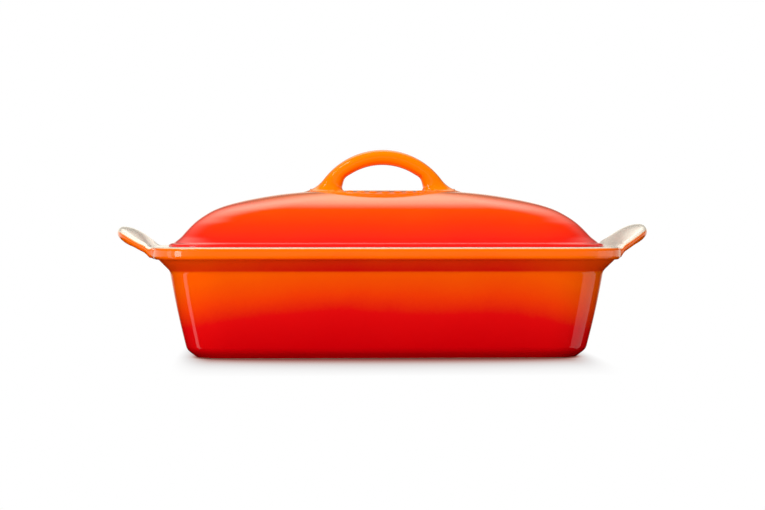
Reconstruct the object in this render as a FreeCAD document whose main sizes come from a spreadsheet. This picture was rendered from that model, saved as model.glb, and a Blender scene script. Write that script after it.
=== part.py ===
import FreeCAD, Part
import Sketcher
import math
import os

# Covered rectangular casserole in glazed stoneware: a deep dish with two flared ears to lift it
# by, and a domed lid with a loop on top. Each is cast and fired as one piece, so there are two
# sub-parts, dish and lid. Millimetres, +Z up; the origin is the middle of the foot on the table,
# the long side runs along X and the ears point to +X and -X.

SIZES = {
    "rim_length": 330,         # dish, over the rim, without the ears
    "rim_width": 246,
    "rim_top": 77.7,             # height of the rim, on which the lid rests
    "rim_corner": 45,          # corner radius of the rim, seen from above
    "rim_band": 8.7,           # upright outer edge of the rim
    "rim_slope": 8.5,          # height of the slope under the rim
    "rim_overhang": 11.5,      # how far the rim stands out from the wall
    "rim_width_top": 18.5,     # flat top of the rim, outer edge to opening
    "rim_round": 2.5,
    "wall_lean": 12.5,         # how far the wall leans in on its way down
    "bevel_width": 6,
    "bevel_height": 5,
    "wall": 8,
    "floor": 9,
    "floor_round": 12,
    "collar": 30,              # clear height above the opening
    "foot_ring": 9,
    "foot_recess": 1.5,
    "ear_reach": 30,           # ear, from the rim outwards
    "ear_width": 118,
    "ear_bow": 150,            # radius of the ear's outer edge, seen from above
    "ear_corner": 20,
    "ear_root": 18,            # length buried in the rim
    "ear_flat": 6,             # flat stretch of the root before the bend
    "ear_bend": 25,
    "ear_angle": 31,
    "ear_thick": 6.5,
    "ear_round": 2.6,
    "lid_margin": 10.5,        # rim left bare around the lid
    "lid_edge": 1.6,           # upright edge of the lid
    "lid_wall": 5,
    "lid_rise": 41,            # rim to crown
    "lid_cap_length": 40,      # level patch at the crown
    "lid_cap_width": 28,
    "lid_cap_corner": 12.6,
    "lip_gap": 2,              # play between the locating lip and the opening
    "lip_depth": 7,
    "lip_thick": 6,
    "loop_rise": 30,           # loop, above the crown
    "loop_radius": 54.5,
    "loop_thick": 10.5,
    "loop_leg": 29.5,          # middle to the inside of a leg
    "loop_inner_radius": 44,
    "loop_inner_corner": 9,
    "loop_flare": 25,
    "loop_half_foot": 61,      # middle to the end of the flare
    "loop_depth": 20,
    "loop_sink": 4.5,          # depth of the loop's foot below the crown
    "loop_round": 4.8,
}

# The lid's rounded side and crown, from its edge to its top, as shares of the lid's own sizes:
# how far in from the edge along X and along Y (of the half length and half width), how high
# above the rim (of the rise), and the corner radius (of the half width left there).
LID_SECTIONS = [
    (0.027, 0.037, 0.070, 0.33),
    (0.054, 0.075, 0.175, 0.34),
    (0.082, 0.113, 0.318, 0.35),
    (0.102, 0.140, 0.402, 0.36),
    (0.123, 0.169, 0.470, 0.38),
    (0.152, 0.196, 0.545, 0.41),
    (0.188, 0.230, 0.620, 0.45),
    (0.240, 0.279, 0.700, 0.51),
    (0.311, 0.347, 0.780, 0.59),
    (0.401, 0.432, 0.855, 0.68),
    (0.518, 0.543, 0.928, 0.78),
    (0.673, 0.690, 0.980, 0.88),
]
HOLLOW_START = 2               # section at which the inside of the lid begins to close in

doc = FreeCAD.newDocument("casserole")


def make_sheet():
    """The driving dimensions, one to a row, each with its name as its alias."""
    table = doc.addObject("Spreadsheet::Sheet", "sizes")
    for row, (name, value) in enumerate(SIZES.items(), start=1):
        table.set(f"A{row}", name)
        table.set(f"B{row}", str(value))
        table.setAlias(f"B{row}", name)
    doc.recompute()
    return table


sheet = make_sheet()


def from_sheet(text):
    """An expression in which every word that names a size is read from the sheet."""
    words = text.replace("(", " ( ").replace(")", " ) ").split()
    return " ".join(f"sizes.{word}" if word in SIZES else word for word in words)


def make_body(name):
    return doc.addObject("PartDesign::Body", name)


def make_sketch(body, name, plane, height="0"):
    """A sketch on one of the body's own origin planes, raised by an expression."""
    sketch = body.newObject("Sketcher::SketchObject", name)
    sketch.AttachmentSupport = [(find_plane(body, plane), "")]
    sketch.MapMode = "FlatFace"
    sketch.setExpression(".AttachmentOffset.Base.z", from_sheet(height))
    return sketch


def find_plane(body, role):
    return next(item for item in body.Origin.OriginFeatures if item.Role == role)


def tie(sketch, *rows):
    """Geometric constraints, each a kind followed by its geometry and point numbers."""
    for row in rows:
        sketch.addConstraint(Sketcher.Constraint(*row))


def drive(sketch, name, expression, kind, *where):
    """A dimension bound to the sheet; where holds its geometry numbers and a first value."""
    index = sketch.addConstraint(Sketcher.Constraint(kind, *where))
    sketch.renameConstraint(index, name)
    sketch.setExpression(f".Constraints.{name}", from_sheet(expression))


def line(x0, y0, x1, y1):
    return Part.LineSegment(FreeCAD.Vector(x0, y0, 0), FreeCAD.Vector(x1, y1, 0))


def arc(x, y, radius, start, end):
    """An arc round (x, y), anticlockwise between two angles in degrees."""
    circle = Part.Circle(FreeCAD.Vector(x, y, 0), FreeCAD.Vector(0, 0, 1), radius)
    return Part.ArcOfCircle(circle, math.radians(start), math.radians(end))


def rounded_rectangle(body, name, length, width, corner, height):
    """Four sides and four corner arcs, centred on the Z axis."""
    sketch = make_sketch(body, name, "XY_Plane", height)
    a, b, r = 100, 70, 20
    sketch.addGeometry([
        line(r - a, -b, a - r, -b), arc(a - r, r - b, r, -90, 0),
        line(a, r - b, a, b - r), arc(a - r, b - r, r, 0, 90),
        line(a - r, b, r - a, b), arc(r - a, b - r, r, 90, 180),
        line(-a, b - r, -a, r - b), arc(r - a, r - b, r, 180, 270),
    ])
    for side in (0, 2, 4, 6):
        tie(sketch, ("Tangent", side, 2, side + 1, 1))
        tie(sketch, ("Tangent", side + 1, 2, (side + 2) % 8, 1))
    tie(sketch, ("Horizontal", 0), ("Horizontal", 4), ("Vertical", 2), ("Vertical", 6))
    tie(sketch, ("Equal", 1, 3), ("Equal", 1, 5), ("Equal", 1, 7))
    tie(sketch, ("Symmetric", 0, 1, 4, 1, -1, 1))
    drive(sketch, "length", length, "DistanceX", 6, 1, 2, 1, 2 * a)
    drive(sketch, "width", width, "DistanceY", 0, 1, 4, 1, 2 * b)
    drive(sketch, "corner", corner, "Radius", 1, r)
    return sketch


def inset_outline(body, name, inset, height, corner=None):
    """The rim's outline, moved in by an expression, at a height above the table."""
    return rounded_rectangle(
        body, name,
        f"rim_length - 2 * ( {inset} )", f"rim_width - 2 * ( {inset} )",
        corner or f"rim_corner - 0.8 * ( {inset} )", height)


def pad(body, sketch, name, length, both_ways=False, downwards=False):
    feature = body.newObject("PartDesign::Pad", name)
    feature.Profile = sketch
    feature.Midplane = both_ways
    feature.Reversed = downwards
    feature.setExpression("Length", from_sheet(length))
    return feature


def loft(body, name, sections):
    """A solid through the sections, with straight sides between them."""
    feature = body.newObject("PartDesign::AdditiveLoft", name)
    feature.Profile = sections[0]
    feature.Sections = sections[1:]
    feature.Ruled = True
    return feature


def round_edges(body, base, name, edges, radius):
    feature = body.newObject("PartDesign::Fillet", name)
    feature.Base = (base, edges)
    feature.setExpression("Radius", from_sheet(radius))
    return feature


def edges_where(shape, test):
    """Names of the edges whose middle and bounding box pass a test."""
    return [f"Edge{number}" for number, edge in enumerate(shape.Edges, start=1) if test(edge)]


def is_level(edge, height):
    box = edge.BoundBox
    return abs(box.ZMin - height) < 0.01 and abs(box.ZMax - height) < 0.01


# ---------------------------------------------------------------- dish

def make_bowl():
    """The dish before it is hollowed: rim with a rounded edge, sloped underside, leaning wall."""
    body = make_body("bowl")
    edge_line = inset_outline(body, "rim_line", "0", "rim_top - rim_band")
    band = pad(body, edge_line, "rim_band", "rim_band")
    doc.recompute()
    heights = (sheet.rim_top - sheet.rim_band, sheet.rim_top)
    edges = edges_where(band.Shape, lambda edge: any(is_level(edge, z) for z in heights))
    round_edges(body, band, "rim_rounding", edges, "rim_round")
    lower = "rim_overhang + wall_lean"
    sections = [
        inset_outline(body, "foot_line", f"{lower} + bevel_width", "0"),
        inset_outline(body, "wall_low_line", lower, "bevel_height"),
        inset_outline(body, "wall_high_line", "rim_overhang", "rim_top - rim_band - rim_slope"),
        inset_outline(body, "slope_line", "rim_round", "rim_top - rim_band"),
    ]
    loft(body, "wall", sections)
    return body


def make_cavity():
    """The inside of the dish, down to its floor."""
    body = make_body("cavity")
    opening = "rim_width_top"
    low = "rim_overhang + wall_lean + wall"
    sections = [
        inset_outline(body, "floor_line", low, "floor"),
        inset_outline(body, "opening_line", opening, "rim_top"),
    ]
    loft(body, "inside", sections)
    top = pad(body, sections[1], "opening", "collar")
    doc.recompute()
    edges = edges_where(top.Shape, lambda edge: is_level(edge, sheet.floor))
    round_edges(body, top, "floor_rounding", edges, "floor_round")
    return body


def make_foot_recess():
    """The shallow hollow inside the foot ring."""
    body = make_body("foot_hollow")
    inset = "rim_overhang + wall_lean + bevel_width + foot_ring"
    outline = inset_outline(body, "foot_hollow_line", inset, "0")
    pad(body, outline, "foot_hollow_pad", "foot_recess")
    return body


def make_ear_profile():
    """The ear from the side: a level root, a bend and a straight flare, of even thickness."""
    body = make_body("ear_side")
    sketch = make_sketch(body, "ear_side_line", "XZ_Plane")
    sketch.addGeometry([
        line(147, 77, 159, 77), arc(159, 102, 25, 270, 301),
        line(171.9, 80.6, 196, 95), line(196, 95, 199.3, 89.4),
        line(199.3, 89.4, 175.2, 75), arc(159, 102, 31.5, 270, 301),
        line(159, 70.5, 147, 70.5), line(147, 70.5, 147, 77),
    ])
    tie(sketch, ("Tangent", 0, 2, 1, 1), ("Tangent", 1, 2, 2, 1), ("Coincident", 2, 2, 3, 1))
    tie(sketch, ("Coincident", 3, 2, 4, 1), ("Tangent", 4, 2, 5, 2), ("Tangent", 5, 1, 6, 1))
    tie(sketch, ("Coincident", 6, 2, 7, 1), ("Coincident", 7, 2, 0, 1))
    tie(sketch, ("Horizontal", 0), ("Vertical", 7), ("Perpendicular", 2, 3))
    tie(sketch, ("Coincident", 1, 3, 5, 3), ("Parallel", 2, 4), ("Horizontal", 6))
    drive(sketch, "root", "rim_length / 2 - ear_root", "DistanceX", -1, 1, 0, 1, 147)
    drive(sketch, "top", "rim_top", "DistanceY", -1, 1, 0, 1, 77)
    drive(sketch, "level", "ear_root - ear_flat", "DistanceX", 0, 1, 0, 2, 12)
    drive(sketch, "bend", "ear_bend", "Radius", 1, 25)
    drive(sketch, "thick", "ear_thick", "Distance", 3, 6.5)
    drive(sketch, "angle", "ear_angle * 1 deg", "Angle", 2, math.radians(31))
    drive(sketch, "reach", "rim_length / 2 + ear_reach + ear_thick", "DistanceX", -1, 1, 2, 2, 201)
    pad(body, sketch, "ear_side_pad", "ear_width * 2", both_ways=True)
    return body


def make_ear_plan():
    """The ear from above: two straight sides, round corners and a bowed outer edge."""
    body = make_body("ear_plan")
    sketch = make_sketch(body, "ear_plan_line", "XY_Plane", "rim_top - ear_reach")
    sketch.addGeometry([
        line(147, -59, 165, -59), arc(170, -39, 20, -90, -14),
        arc(45, 0, 150, -14, 14), arc(170, 39, 20, 14, 90),
        line(165, 59, 147, 59), line(147, 59, 147, -59),
    ])
    tie(sketch, ("Tangent", 0, 2, 1, 1), ("Tangent", 1, 2, 2, 1), ("Tangent", 2, 2, 3, 1))
    tie(sketch, ("Tangent", 3, 2, 4, 1), ("Coincident", 4, 2, 5, 1), ("Coincident", 5, 2, 0, 1))
    tie(sketch, ("Horizontal", 0), ("Horizontal", 4), ("Equal", 1, 3))
    tie(sketch, ("Symmetric", 0, 1, 4, 2, -1), ("PointOnObject", 2, 3, -1))
    drive(sketch, "root", "rim_length / 2 - ear_root", "DistanceX", -1, 1, 0, 1, 147)
    drive(sketch, "width", "ear_width", "DistanceY", 0, 1, 4, 2, 118)
    drive(sketch, "corner", "ear_corner", "Radius", 1, 20)
    drive(sketch, "bow", "ear_bow", "Radius", 2, 150)
    drive(sketch, "middle", "rim_length / 2 + ear_reach - ear_bow", "DistanceX", -1, 1, 2, 3, 45)
    pad(body, sketch, "ear_plan_pad", "ear_reach * 3")
    return body


def in_common(name, *objects):
    feature = doc.addObject("Part::MultiCommon", name)
    feature.Shapes = list(objects)
    return feature


def fuse(name, *objects):
    feature = doc.addObject("Part::MultiFuse", name)
    feature.Shapes = list(objects)
    feature.Refine = True
    return feature


def cut(name, base, tool):
    feature = doc.addObject("Part::Cut", name)
    feature.Base = base
    feature.Tool = tool
    return feature


def make_ears():
    """One ear with a rounded edge all round, and its mirror image."""
    blank = in_common("ear_blank", make_ear_profile(), make_ear_plan())
    doc.recompute()
    ear = doc.addObject("Part::Fillet", "ear")
    ear.Base = blank
    ear.Edges = [
        (number, sheet.ear_round, sheet.ear_round)
        for number, edge in enumerate(blank.Shape.Edges, start=1) if goes_round_the_ear(edge)
    ]
    other = doc.addObject("Part::Mirroring", "ear_mirrored")
    other.Source = ear
    other.Normal = (1, 0, 0)
    return ear, other


def goes_round_the_ear(edge):
    """True for the long edges along the ear's outline, top and bottom. False for the short ones
    through its thickness, for those straight across it and for all that is inside the rim."""
    box = edge.BoundBox
    inside_rim = box.XMax < sheet.rim_length / 2 - sheet.ear_root + 1
    short = edge.Length < sheet.ear_thick * 1.05
    straight_across = box.XLength < 0.01 or box.ZLength < 0.01 and box.YLength > box.XLength
    return not (inside_rim or short or straight_across)


def make_dish():
    ear, other = make_ears()
    blank = fuse("dish_blank", make_bowl(), ear, other)
    hollowed = cut("dish_hollowed", blank, make_cavity())
    return cut("dish", hollowed, make_foot_recess())


# ---------------------------------------------------------------- lid

def lid_outline(body, name, height, inset="0", share=LID_SECTIONS[0][3]):
    """The lid's outline, moved in by the same amount all round, at a height above the rim."""
    width = f"rim_width - 2 * ( lid_margin + {inset} )"
    return rounded_rectangle(
        body, name, f"rim_length - 2 * ( lid_margin + {inset} )", width,
        f"( {width} ) * {share} / 2", f"rim_top + {height}")


def lid_section(body, name, row, wall="0"):
    """One row of the lid's sections, moved in and down by a wall."""
    share_x, share_y, share_z, corner = row
    length = f"( rim_length - 2 * lid_margin ) * {1 - share_x:.3f} - 2 * {wall}"
    width = f"( rim_width - 2 * lid_margin ) * {1 - share_y:.3f} - 2 * {wall}"
    return rounded_rectangle(
        body, name, length, width, f"( {width} ) * {corner} / 2",
        f"rim_top + lid_rise * {share_z} - {wall}")


def make_dome():
    """The lid before it is hollowed: upright edge, cove, round side, crown and locating lip."""
    body = make_body("dome")
    pad(body, lid_outline(body, "edge_line", "0"), "edge_pad", "lid_edge")
    lip = lid_outline(body, "lip_line", "0", "( rim_width_top - lid_margin + lip_gap )")
    pad(body, lip, "lip_pad", "lip_depth", downwards=True)
    sections = [lid_outline(body, "cove_line", "lid_edge")]
    for number, row in enumerate(LID_SECTIONS, start=1):
        sections.append(lid_section(body, f"dome_line_{number}", row))
    sections.append(rounded_rectangle(
        body, "crown_line", "lid_cap_length", "lid_cap_width", "lid_cap_corner",
        "rim_top + lid_rise"))
    loft(body, "crown", sections)
    return body


def make_hollow():
    """The inside of the lid: the same curves moved in and down by the wall, open at the lip."""
    body = make_body("hollow")
    rows = LID_SECTIONS[HOLLOW_START:]
    inset = "( rim_width_top - lid_margin + lip_gap + lip_thick )"
    mouth = lid_outline(body, "mouth_line", "lid_edge", inset, rows[0][3])
    pad(body, mouth, "mouth_pad", "lip_depth + lid_edge", downwards=True)
    sections = [mouth]
    for number, row in enumerate(rows, start=1):
        sections.append(lid_section(body, f"hollow_line_{number}", row, "lid_wall"))
    loft(body, "ceiling", sections)
    return body


def make_loop():
    """The loop handle: half an arch with a flared foot, mirrored, its long edges rounded."""
    body = make_body("loop")
    sketch = make_sketch(body, "loop_line", "XZ_Plane")
    sketch.addGeometry([
        arc(0, 92.5, 54.5, 37, 90), arc(63.4, 140.6, 25, 217, 262),
        line(61, 115.7, 61, 112.5), line(61, 112.5, 29.5, 112.5),
        line(29.5, 112.5, 29.5, 121.5), arc(20.5, 121.5, 9, 0, 54),
        arc(0, 92.5, 44, 55, 90), line(0, 136.5, 0, 147),
    ])
    tie(sketch, ("Tangent", 0, 1, 1, 1), ("Coincident", 1, 2, 2, 1), ("Coincident", 2, 2, 3, 1))
    tie(sketch, ("Coincident", 3, 2, 4, 1), ("Tangent", 4, 2, 5, 1), ("Tangent", 5, 2, 6, 1))
    tie(sketch, ("Coincident", 6, 2, 7, 1), ("Coincident", 7, 2, 0, 2))
    tie(sketch, ("PointOnObject", 0, 3, -2), ("PointOnObject", 6, 3, -2), ("Vertical", 7))
    tie(sketch, ("PointOnObject", 7, 1, -2), ("Vertical", 2), ("Horizontal", 3), ("Vertical", 4))
    crown = "rim_top + lid_rise"
    drive(sketch, "top", f"{crown} + loop_rise", "DistanceY", -1, 1, 0, 2, 147)
    drive(sketch, "thick", "loop_thick", "DistanceY", 7, 1, 7, 2, 10.5)
    drive(sketch, "foot", f"{crown} - loop_sink", "DistanceY", -1, 1, 3, 1, 112.5)
    drive(sketch, "outer", "loop_radius", "Radius", 0, 54.5)
    drive(sketch, "inner", "loop_inner_radius", "Radius", 6, 44)
    drive(sketch, "corner", "loop_inner_corner", "Radius", 5, 9)
    drive(sketch, "flare", "loop_flare", "Radius", 1, 25)
    drive(sketch, "leg", "loop_leg", "DistanceX", -1, 1, 4, 1, 29.5)
    drive(sketch, "half_foot", "loop_half_foot", "DistanceX", -1, 1, 3, 1, 61)
    drive(sketch, "flare_end", f"{crown} - loop_sink / 3", "DistanceY", -1, 1, 1, 2, 115.5)
    half = pad(body, sketch, "half_loop", "loop_depth", both_ways=True)
    doc.recompute()
    whole = body.newObject("PartDesign::Mirrored", "whole_loop")
    whole.Originals = [half]
    whole.MirrorPlane = (find_plane(body, "YZ_Plane"), [""])
    body.Tip = whole
    doc.recompute()
    side = sheet.loop_depth / 2
    edges = edges_where(whole.Shape, lambda e: lies_on_side(e, side) and not touches_foot(e))
    round_edges(body, whole, "loop_rounding", edges, "loop_round")
    return body


def lies_on_side(edge, side):
    box = edge.BoundBox
    return box.YLength < 0.01 and abs(abs(box.YMax) - side) < 0.01


def touches_foot(edge):
    """True for the edges buried in the crown."""
    return edge.BoundBox.ZMax < sheet.rim_top + sheet.lid_rise - sheet.loop_sink / 4


def make_lid():
    blank = fuse("lid_blank", make_dome(), make_loop())
    return cut("lid", blank, make_hollow())


# ---------------------------------------------------------------- checks and files

def check(parts):
    """Stop if any object of the document failed, or a part isn't one valid solid."""
    doc.recompute()
    for item in doc.Objects:
        bad = [state for state in item.State if state in ("Invalid", "Error")]
        if bad:
            raise RuntimeError(f"{item.Label} is {bad}")
    for part in parts:
        shape = part.Shape
        if shape.isNull() or not shape.isValid() or len(shape.Solids) != 1:
            raise RuntimeError(f"{part.Label} is not one valid solid")


dish = make_dish()
lid = make_lid()
check([dish, lid])
os.makedirs("parts", exist_ok=True)
for part in (dish, lid):
    part.Placement = FreeCAD.Placement()
    part.Shape.exportStep(f"parts/{part.Label}.step")
    box = part.Shape.BoundBox
    print(part.Label, round(part.Shape.Volume / 1000), "cm3", box)
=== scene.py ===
import math

import bpy
import numpy as np
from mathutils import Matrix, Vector
from mathutils.bvhtree import BVHTree


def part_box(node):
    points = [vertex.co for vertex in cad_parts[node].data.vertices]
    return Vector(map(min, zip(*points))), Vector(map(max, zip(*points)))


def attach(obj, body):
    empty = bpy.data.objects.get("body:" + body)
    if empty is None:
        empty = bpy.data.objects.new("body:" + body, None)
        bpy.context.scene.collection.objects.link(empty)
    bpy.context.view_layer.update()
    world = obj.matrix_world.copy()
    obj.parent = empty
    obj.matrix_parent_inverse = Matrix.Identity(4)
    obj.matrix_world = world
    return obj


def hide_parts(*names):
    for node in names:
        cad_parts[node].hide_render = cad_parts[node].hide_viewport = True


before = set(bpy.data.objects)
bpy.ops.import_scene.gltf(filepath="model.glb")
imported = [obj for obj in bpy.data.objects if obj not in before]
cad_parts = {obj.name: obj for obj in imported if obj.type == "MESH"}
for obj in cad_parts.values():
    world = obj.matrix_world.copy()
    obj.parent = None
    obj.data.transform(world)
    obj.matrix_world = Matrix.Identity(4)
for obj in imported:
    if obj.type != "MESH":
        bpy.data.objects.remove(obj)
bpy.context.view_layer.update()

# A covered rectangular casserole in stoneware: a dish with two ears and a lid with a loop, both
# glazed flame orange that deepens to red, cream inside. Sizes below are millimetres unless a
# name says otherwise; a mesh is turned to metres when it is made.

MM = 0.001

# ------------------------------------------------------------------ sizes from the frame

dish_low, dish_high = (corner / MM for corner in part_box("dish"))
lid_low, lid_high = (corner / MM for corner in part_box("lid"))

LIP_DEPTH = 7.0                                 # of the lid's locating lip, below the rim
RIM_TOP = lid_low.z + LIP_DEPTH
TOTAL_HEIGHT = lid_high.z
EAR_TIP = dish_high.x
RIM_HALF_Y = dish_high.y
LID_HALF_X = lid_high.x
LID_HALF_Y = lid_high.y
LID_MARGIN = RIM_HALF_Y - LID_HALF_Y            # rim left bare around the lid
RIM_HALF_X = LID_HALF_X + LID_MARGIN

# ------------------------------------------------------------------ small geometry helpers

CORNER_POWER = 2.5       # above 2, so that a corner's curve starts as gently as a moulded one
CORNER_STRETCH = 1.21    # makes such a corner look as round as an arc of the stated radius
SIDE_STEPS = 36          # steps along half a side
CORNER_STEPS = 22
BOW_X = 0.0055           # how much a short side bows out, as a share of the half length
BOW_Y = 0.015


def smoothstep(value):
    t = np.clip(value, 0.0, 1.0)
    return t * t * (3.0 - 2.0 * t)


def ring_outline(half_x, half_y, corner):
    """A rounded rectangle as an N x 2 array, anticlockwise from the middle of the +X side."""
    radius = min(corner * CORNER_STRETCH, half_y * 0.999, half_x * 0.999)
    rise = np.linspace(0.0, half_y - radius, SIDE_STEPS + 1)
    turn = np.linspace(0.0, math.pi / 2, CORNER_STEPS + 1)[1:-1]
    run = np.linspace(half_x - radius, 0.0, SIDE_STEPS + 1)
    x = np.concatenate([
        np.full_like(rise, half_x),
        half_x - radius + radius * np.cos(turn) ** (2 / CORNER_POWER), run])
    y = np.concatenate([
        rise, half_y - radius + radius * np.sin(turn) ** (2 / CORNER_POWER),
        np.full_like(run, half_y)])
    quarter = np.stack([
        x * (1 - BOW_X * (y / half_y) ** 2), y * (1 - BOW_Y * (x / half_x) ** 2)], axis=1)
    left = quarter[-2::-1] * (-1, 1)
    lower_left = quarter[1:] * (-1, -1)
    lower_right = quarter[-2:0:-1] * (1, -1)
    return np.concatenate([quarter, left, lower_left, lower_right])


def rounded_path(corners, spacing=7.0, hold=0.6):
    """Points along a run of straight lines whose corners (u, v, radius) are rounded off."""
    spots = [np.array(corner[:2], float) for corner in corners]
    path = [spots[0]]
    for before, here, after, corner in zip(spots, spots[1:], spots[2:], corners[1:]):
        back = (before - here) / np.linalg.norm(before - here)
        ahead = (after - here) / np.linalg.norm(after - here)
        angle = math.acos(np.clip(back @ ahead, -1, 1))
        turning = math.pi - angle
        reach = corner[2] / math.tan(angle / 2)
        middle = here + (back + ahead) / np.linalg.norm(back + ahead) * (
            corner[2] / math.sin(angle / 2))
        start = here + back * reach - middle
        end = here + ahead * reach - middle
        steps = max(3, round(math.degrees(turning) / 13))
        add_straight(path, middle + start, spacing, hold)
        for step in range(1, steps + 1):
            share = step / steps
            path.append(middle + (
                start * math.sin((1 - share) * turning) + end * math.sin(share * turning)
            ) / math.sin(turning))
    add_straight(path, spots[-1], spacing, hold)
    return np.array(path)


def add_straight(path, end, spacing, hold):
    """A straight stretch in even steps, with a short one at each end to keep it straight."""
    start = path[-1]
    length = np.linalg.norm(end - start)
    if length < 1e-6:
        return
    marks = [hold, length - hold] if length > 3 * hold else []
    count = int(length // spacing)
    marks += [length * step / (count + 1) for step in range(1, count + 1)]
    for mark in sorted(marks) + [length]:
        path.append(start + (end - start) * mark / length)


def smooth_curve(points, steps):
    """A smooth curve through points of any dimension, with even steps between each pair."""
    spots = np.array(points, float)
    spans = np.linalg.norm(np.diff(spots, axis=0), axis=1)
    slopes = np.diff(spots, axis=0) / spans[:, None]
    inner = (slopes[:-1] * spans[1:, None] + slopes[1:] * spans[:-1, None]) / (
        spans[:-1] + spans[1:])[:, None]
    tangents = np.concatenate([slopes[:1], inner, slopes[-1:]])
    curve = [spots[0]]
    for index, span in enumerate(spans):
        for step in range(1, steps + 1):
            t = step / steps
            curve.append(
                spots[index] * (2 * t ** 3 - 3 * t ** 2 + 1)
                + tangents[index] * span * (t ** 3 - 2 * t ** 2 + t)
                + spots[index + 1] * (3 * t ** 2 - 2 * t ** 3)
                + tangents[index + 1] * span * (t ** 3 - t ** 2))
    return np.array(curve)


def resample(path, count):
    """Evenly spaced points along a path."""
    lengths = np.concatenate([[0], np.cumsum(np.linalg.norm(np.diff(path, axis=0), axis=1))])
    marks = np.linspace(0, lengths[-1], count)
    return np.stack([np.interp(marks, lengths, path[:, axis]) for axis in range(2)], axis=1)


class Skin:
    """A closed surface built from rings of points. Each point also has a glaze value: how far
    it lies from the edge of the cream, in millimetres, positive on the cream side."""

    def __init__(self):
        self.points = []
        self.faces = []
        self.glaze = []

    def add_rings(self, rings, glaze):
        """Joins rings of equal length, and closes both ends on a point at their middle."""
        start = len(self.points)
        count = len(rings[0])
        for ring, value in zip(rings, glaze):
            self.points.extend(map(tuple, ring))
            self.glaze.extend(np.broadcast_to(value, count))
        for level in range(len(rings) - 1):
            low = start + level * count
            for step in range(count):
                after = (step + 1) % count
                self.faces.append((low + step, low + after, low + count + after,
                                   low + count + step))
        self.close_end(start, count, rings[0], glaze[0], False)
        self.close_end(start + (len(rings) - 1) * count, count, rings[-1], glaze[-1], True)

    def close_end(self, first, count, ring, value, outwards):
        tip = len(self.points)
        self.points.append(tuple(np.mean(ring, axis=0)))
        self.glaze.append(float(np.mean(value)))
        for step in range(count):
            edge = (first + step, first + (step + 1) % count)
            self.faces.append((*edge, tip) if outwards else (*reversed(edge), tip))

    def make(self, name, material):
        mesh = bpy.data.meshes.new(name)
        mesh.from_pydata([tuple(np.array(point) * MM) for point in self.points], [], self.faces)
        mesh.attributes.new("glaze_line", "FLOAT", "POINT").data.foreach_set("value", self.glaze)
        mesh.materials.append(material)
        mesh.shade_smooth()
        piece = bpy.data.objects.new(name, mesh)
        bpy.context.scene.collection.objects.link(piece)
        return piece


def at_height(outline, height):
    return np.column_stack([outline, np.full(len(outline), height)])


# ------------------------------------------------------------------ materials

def linear(code):
    """An sRGB hex colour as linear RGBA."""
    parts = [int(code[start:start + 2], 16) / 255 for start in (0, 2, 4)]
    return [part / 12.92 if part <= 0.04045 else ((part + 0.055) / 1.055) ** 2.4
            for part in parts] + [1.0]


def add_node(tree, kind, settings=None, links=None):
    """A node with its settings (properties or input values) and its incoming links."""
    node = tree.nodes.new(kind)
    for key, value in (settings or {}).items():
        if isinstance(key, str) and hasattr(node, key):
            setattr(node, key, value)
        else:
            node.inputs[key].default_value = value
    for key, socket in (links or {}).items():
        tree.links.new(socket, node.inputs[key])
    return node


def set_ramp(ramp, stops):
    """Colour stops as (position, hex) pairs."""
    elements = ramp.color_ramp.elements
    while len(elements) < len(stops):
        elements.new(0.5)
    for element, (position, code) in zip(elements, stops):
        element.position = position
        element.color = linear(code)


def new_material(name):
    material = bpy.data.materials.new(name)
    material.use_nodes = True
    tree = material.node_tree
    tree.nodes.clear()
    return material, tree


CREAM = "EEE5D5"          # lining glaze
BREAK = "FFD9A6"          # flame glaze run thin over an edge
BISQUE = "C9B79C"         # bare fired clay
FLOW = 0.35               # how far the cream's edge wanders, in millimetres
BARE = -100.0             # glaze value at which the bare foot starts


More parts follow.
